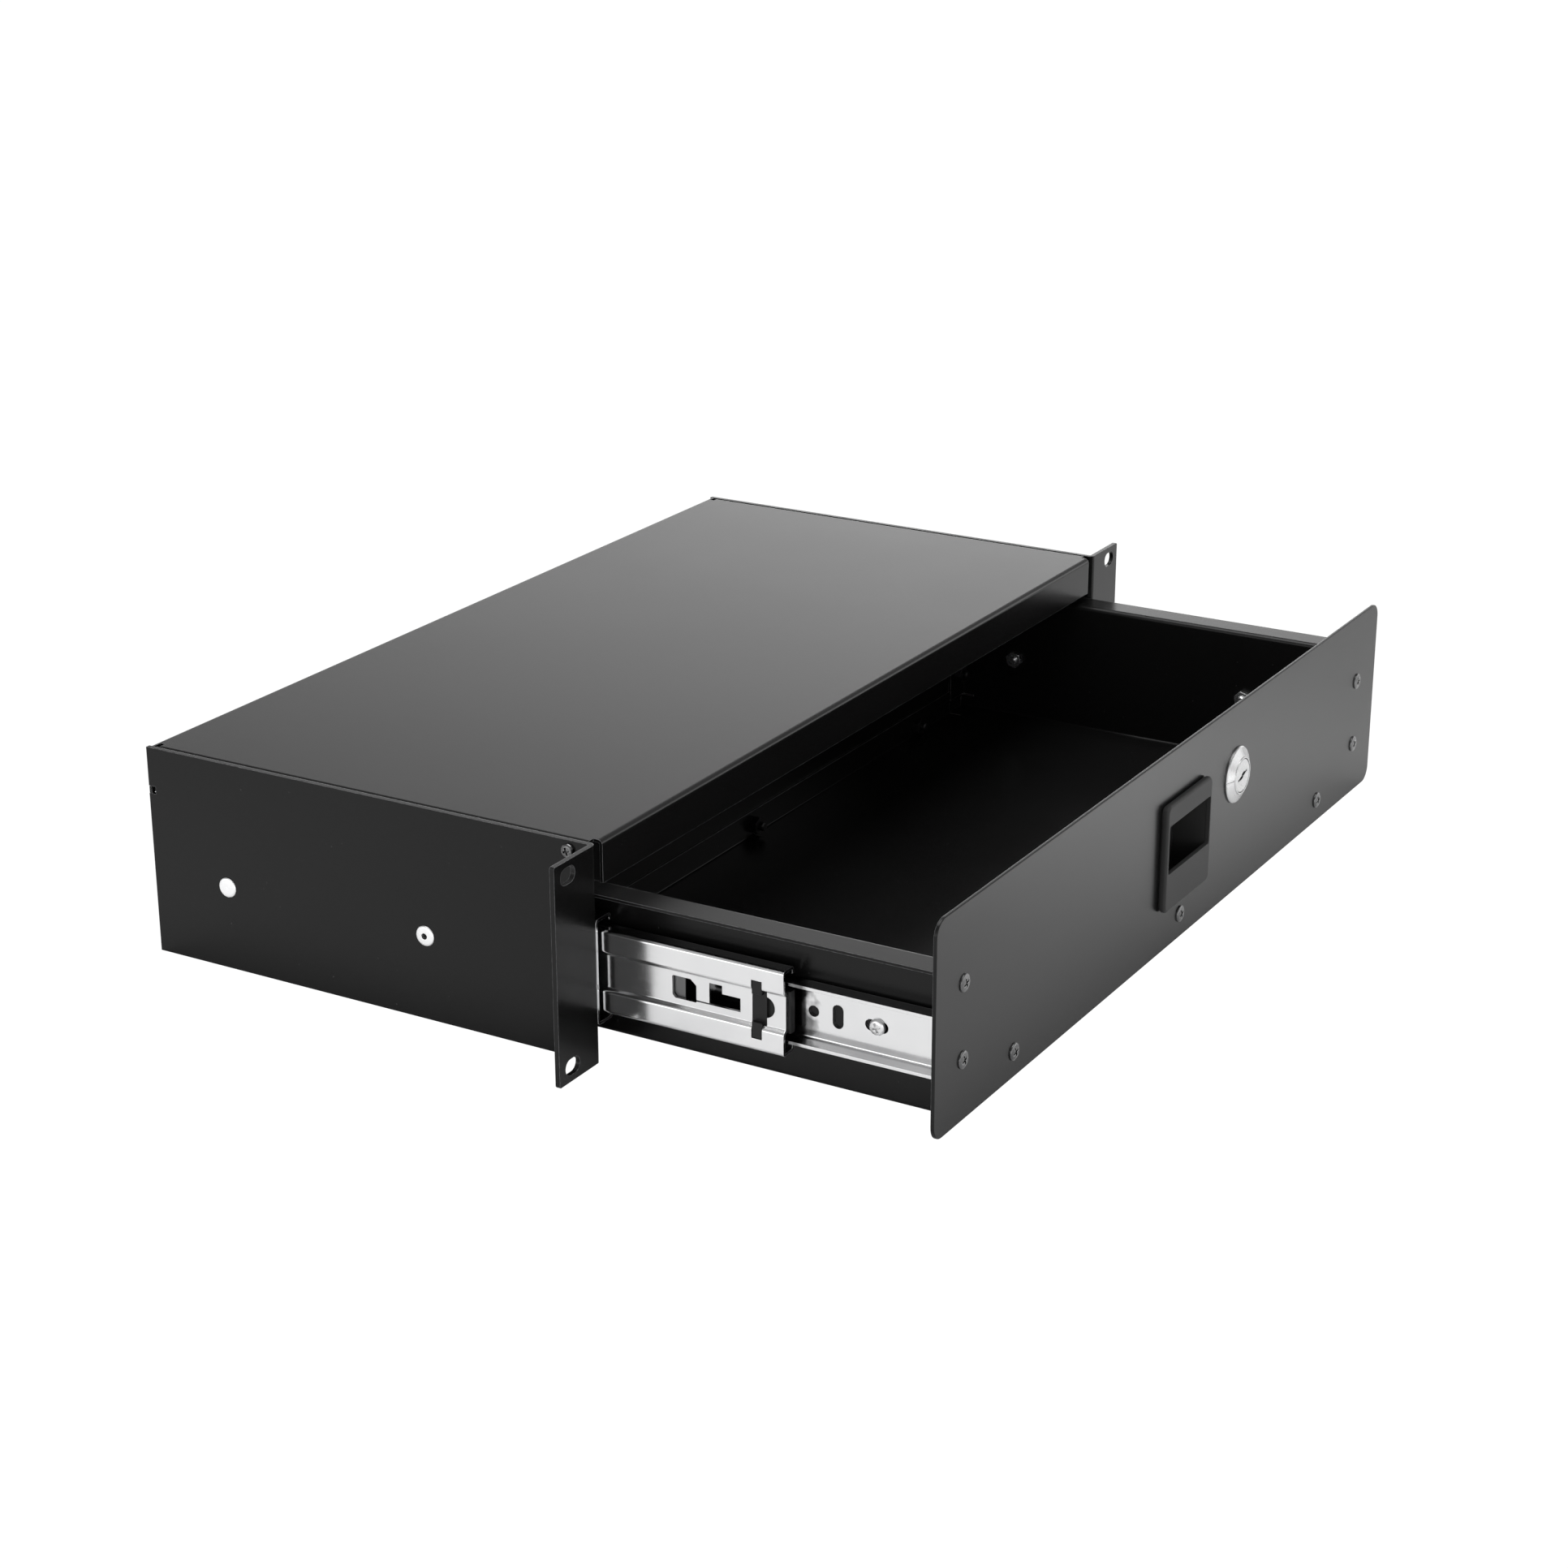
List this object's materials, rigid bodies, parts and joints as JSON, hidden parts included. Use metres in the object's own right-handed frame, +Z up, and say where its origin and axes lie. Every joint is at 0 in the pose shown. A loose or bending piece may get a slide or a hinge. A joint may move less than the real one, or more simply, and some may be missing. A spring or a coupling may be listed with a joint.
{
  "type": "sliding rack drawer",
  "caption": "Shallow sheet steel drawer on ball bearing slides in an open-bottomed rack chassis with slotted ears, a recessed square pull and a cam lock in its front panel.",
  "frame": {"origin": "middle of the four rack slots, on the front plane of the mounting ears", "axes": "+X to the right seen from the front, along the ears and the front panel; -Y out of the front, the way the drawer opens; +Z up"},
  "size_m": [0.4826, 0.3575, 0.088],
  "materials": {
    "powder_coat": "satin powder coat",
    "zinc_rail": "bright zinc",
    "rivet_alloy": "bright",
    "cage_steel": "rolled",
    "ball_steel": "polished",
    "black_plastic": "fine grain",
    "black_screw": "dark nickel",
    "zinc_fastener": "bright zinc",
    "lock_chrome": "polished"
  },
  "bodies": {
    "chassis": {"side_panel_left": "powder_coat", "side_panel_right": "powder_coat", "top_cover": "powder_coat", "cover_screws": "black_screw", "slide_outer_left": "zinc_rail", "slide_outer_right": "zinc_rail", "slide_rivets_left": "rivet_alloy", "slide_rivets_right": "rivet_alloy"},
    "drawer": {"drawer_tray": "powder_coat", "rear_wall": "powder_coat", "rear_wall_screws": "black_screw", "rear_wall_nuts": "black_screw", "front_panel": "powder_coat", "front_panel_screws": "black_screw", "front_panel_nuts": "black_screw", "drawer_pull": "black_plastic", "lock_body": "lock_chrome", "lock_nut": "zinc_fastener", "slide_inner_left": "zinc_rail", "slide_inner_right": "zinc_rail", "rail_screws_left": "zinc_fastener", "rail_screws_right": "zinc_fastener", "rail_nuts_left": "zinc_fastener", "rail_nuts_right": "zinc_fastener"},
    "lock_rotor": {"lock_plug": "lock_chrome", "lock_cam": "zinc_fastener", "lock_cam_screw": "zinc_fastener"},
    "middle_left": {"slide_middle_left": "zinc_rail", "middle_bumper_left": "black_plastic"},
    "cage_outer_left": {"ball_cage_outer_left": "cage_steel", "balls_outer_left": "ball_steel"},
    "cage_inner_left": {"ball_cage_inner_left": "cage_steel", "balls_inner_left": "ball_steel"},
    "middle_right": {"slide_middle_right": "zinc_rail", "middle_bumper_right": "black_plastic"},
    "cage_outer_right": {"ball_cage_outer_right": "cage_steel", "balls_outer_right": "ball_steel"},
    "cage_inner_right": {"ball_cage_inner_right": "cage_steel", "balls_inner_right": "ball_steel"}
  },
  "joints": [
    {"name": "drawer_slide", "type": "slide", "parent": "chassis", "child": "drawer", "axis": [0, -1, 0], "range_m": [-0.13935, 0.0545]},
    {"name": "lock_turn", "type": "hinge", "parent": "drawer", "child": "lock_rotor", "pos_m": [0.0546, -0.1291, 0.0113], "axis": [0, -1, 0], "range_deg": [0, 90]},
    {"name": "middle_left_slide", "type": "slide", "parent": "chassis", "child": "middle_left", "axis": [0, -1, 0], "range_m": [-0.0796, 0.03125]},
    {"name": "cage_outer_left_slide", "type": "slide", "parent": "chassis", "child": "cage_outer_left", "axis": [0, -1, 0], "range_m": [-0.0399, 0.01573]},
    {"name": "cage_inner_left_slide", "type": "slide", "parent": "chassis", "child": "cage_inner_left", "axis": [0, -1, 0], "range_m": [-0.10958, 0.04298]},
    {"name": "middle_right_slide", "type": "slide", "parent": "chassis", "child": "middle_right", "axis": [0, -1, 0], "range_m": [-0.0796, 0.03125]},
    {"name": "cage_outer_right_slide", "type": "slide", "parent": "chassis", "child": "cage_outer_right", "axis": [0, -1, 0], "range_m": [-0.0399, 0.01573]},
    {"name": "cage_inner_right_slide", "type": "slide", "parent": "chassis", "child": "cage_inner_right", "axis": [0, -1, 0], "range_m": [-0.10958, 0.04298]}
  ],
  "couplings": [
    {"joint": "middle_left_slide", "follows": "drawer_slide", "ratio": 0.56979},
    {"joint": "cage_outer_left_slide", "follows": "drawer_slide", "ratio": 0.28489},
    {"joint": "cage_inner_left_slide", "follows": "drawer_slide", "ratio": 0.78489},
    {"joint": "middle_right_slide", "follows": "drawer_slide", "ratio": 0.56979},
    {"joint": "cage_outer_right_slide", "follows": "drawer_slide", "ratio": 0.28489},
    {"joint": "cage_inner_right_slide", "follows": "drawer_slide", "ratio": 0.78489}
  ]
}
